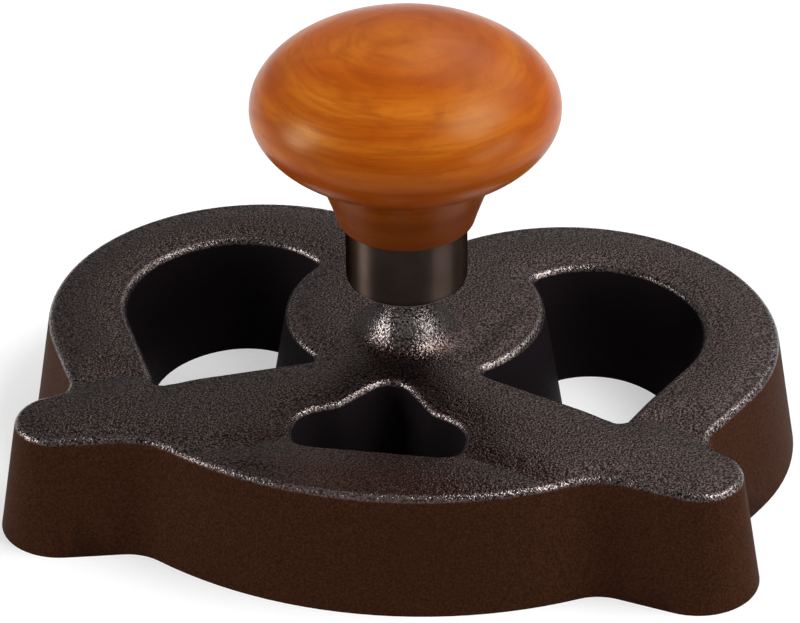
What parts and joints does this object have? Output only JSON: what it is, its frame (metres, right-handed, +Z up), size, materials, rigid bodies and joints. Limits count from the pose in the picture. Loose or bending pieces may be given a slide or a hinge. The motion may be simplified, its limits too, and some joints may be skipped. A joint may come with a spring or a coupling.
{
  "type": "pretzel cookie mold",
  "caption": "Cast pretzel-shaped cookie mold, hollow underneath, with eyes and a front window, pressed down by a turned wooden knob on a slim neck with a steel ferrule.",
  "frame": {"origin": "where the knob's axis meets the plane of the cutting rim that the mold stands on", "axes": "+Z up along the knob's axis, -Y to the front where the three-cornered window is, +X to the right along the longest side"},
  "size_m": [0.123, 0.0885, 0.0729],
  "materials": {
    "cast_body": "dark brown-black non-stick coating, fine grained satin",
    "ferrule_steel": "dark drawn steel, satin",
    "knob_wood": "orange-brown stain, satin varnish",
    "insert_brass": "turned",
    "screw_steel": "zinc plated"
  },
  "bodies": {
    "root": {"mold_body": "cast_body", "ferrule": "ferrule_steel", "knob": "knob_wood", "threaded_insert": "insert_brass", "fixing_screw": "screw_steel", "flat_washer": "screw_steel", "lock_washer": "screw_steel"}
  },
  "joints": []
}
